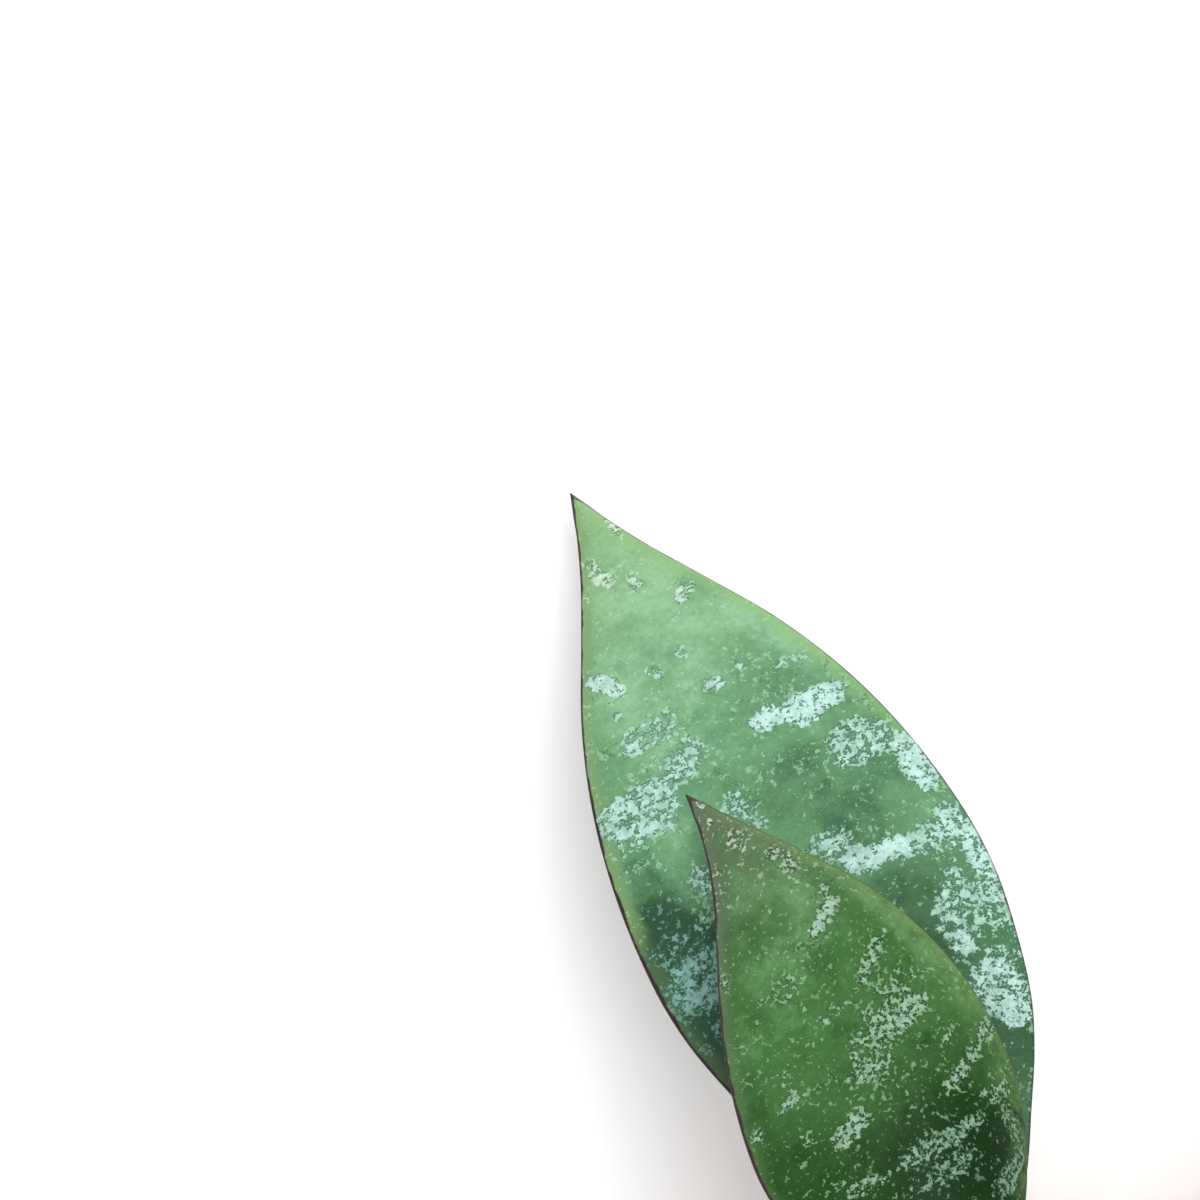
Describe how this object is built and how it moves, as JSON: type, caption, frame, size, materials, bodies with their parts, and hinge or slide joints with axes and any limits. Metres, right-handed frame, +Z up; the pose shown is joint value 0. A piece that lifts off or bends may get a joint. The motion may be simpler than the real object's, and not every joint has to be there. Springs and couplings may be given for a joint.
{
  "type": "potted hoya caudata",
  "caption": "Young climbing plant with thick, pointed, silver-flecked leaves on rooted vines, in a plain tapered clay pot with a collar and a drain hole.",
  "frame": {"origin": "centre of the pot's foot, on the surface it stands on", "axes": "+Z up along the pot's axis; +Y towards the two large leaves that arch over each other"},
  "size_m": [0.2724, 0.303, 0.1593],
  "materials": {
    "clay": "unglazed, matt",
    "mix": "coarse bark, matt",
    "vine": "green-brown bark, satin",
    "leaf": "thick waxy leaf with silver flecks, satin"
  },
  "bodies": {
    "root": {"clay_pot": "clay", "potting_mix": "mix", "vine_back": "vine", "vine_centre": "vine", "vine_front": "vine", "leaf_back_lower": "leaf", "leaf_back_upper": "leaf", "leaf_right_back": "leaf", "leaf_right": "leaf", "leaf_right_front": "leaf", "leaf_front": "leaf", "leaf_left_front": "leaf", "leaf_left": "leaf", "leaf_young_left": "leaf", "leaf_young_right": "leaf"}
  },
  "joints": []
}
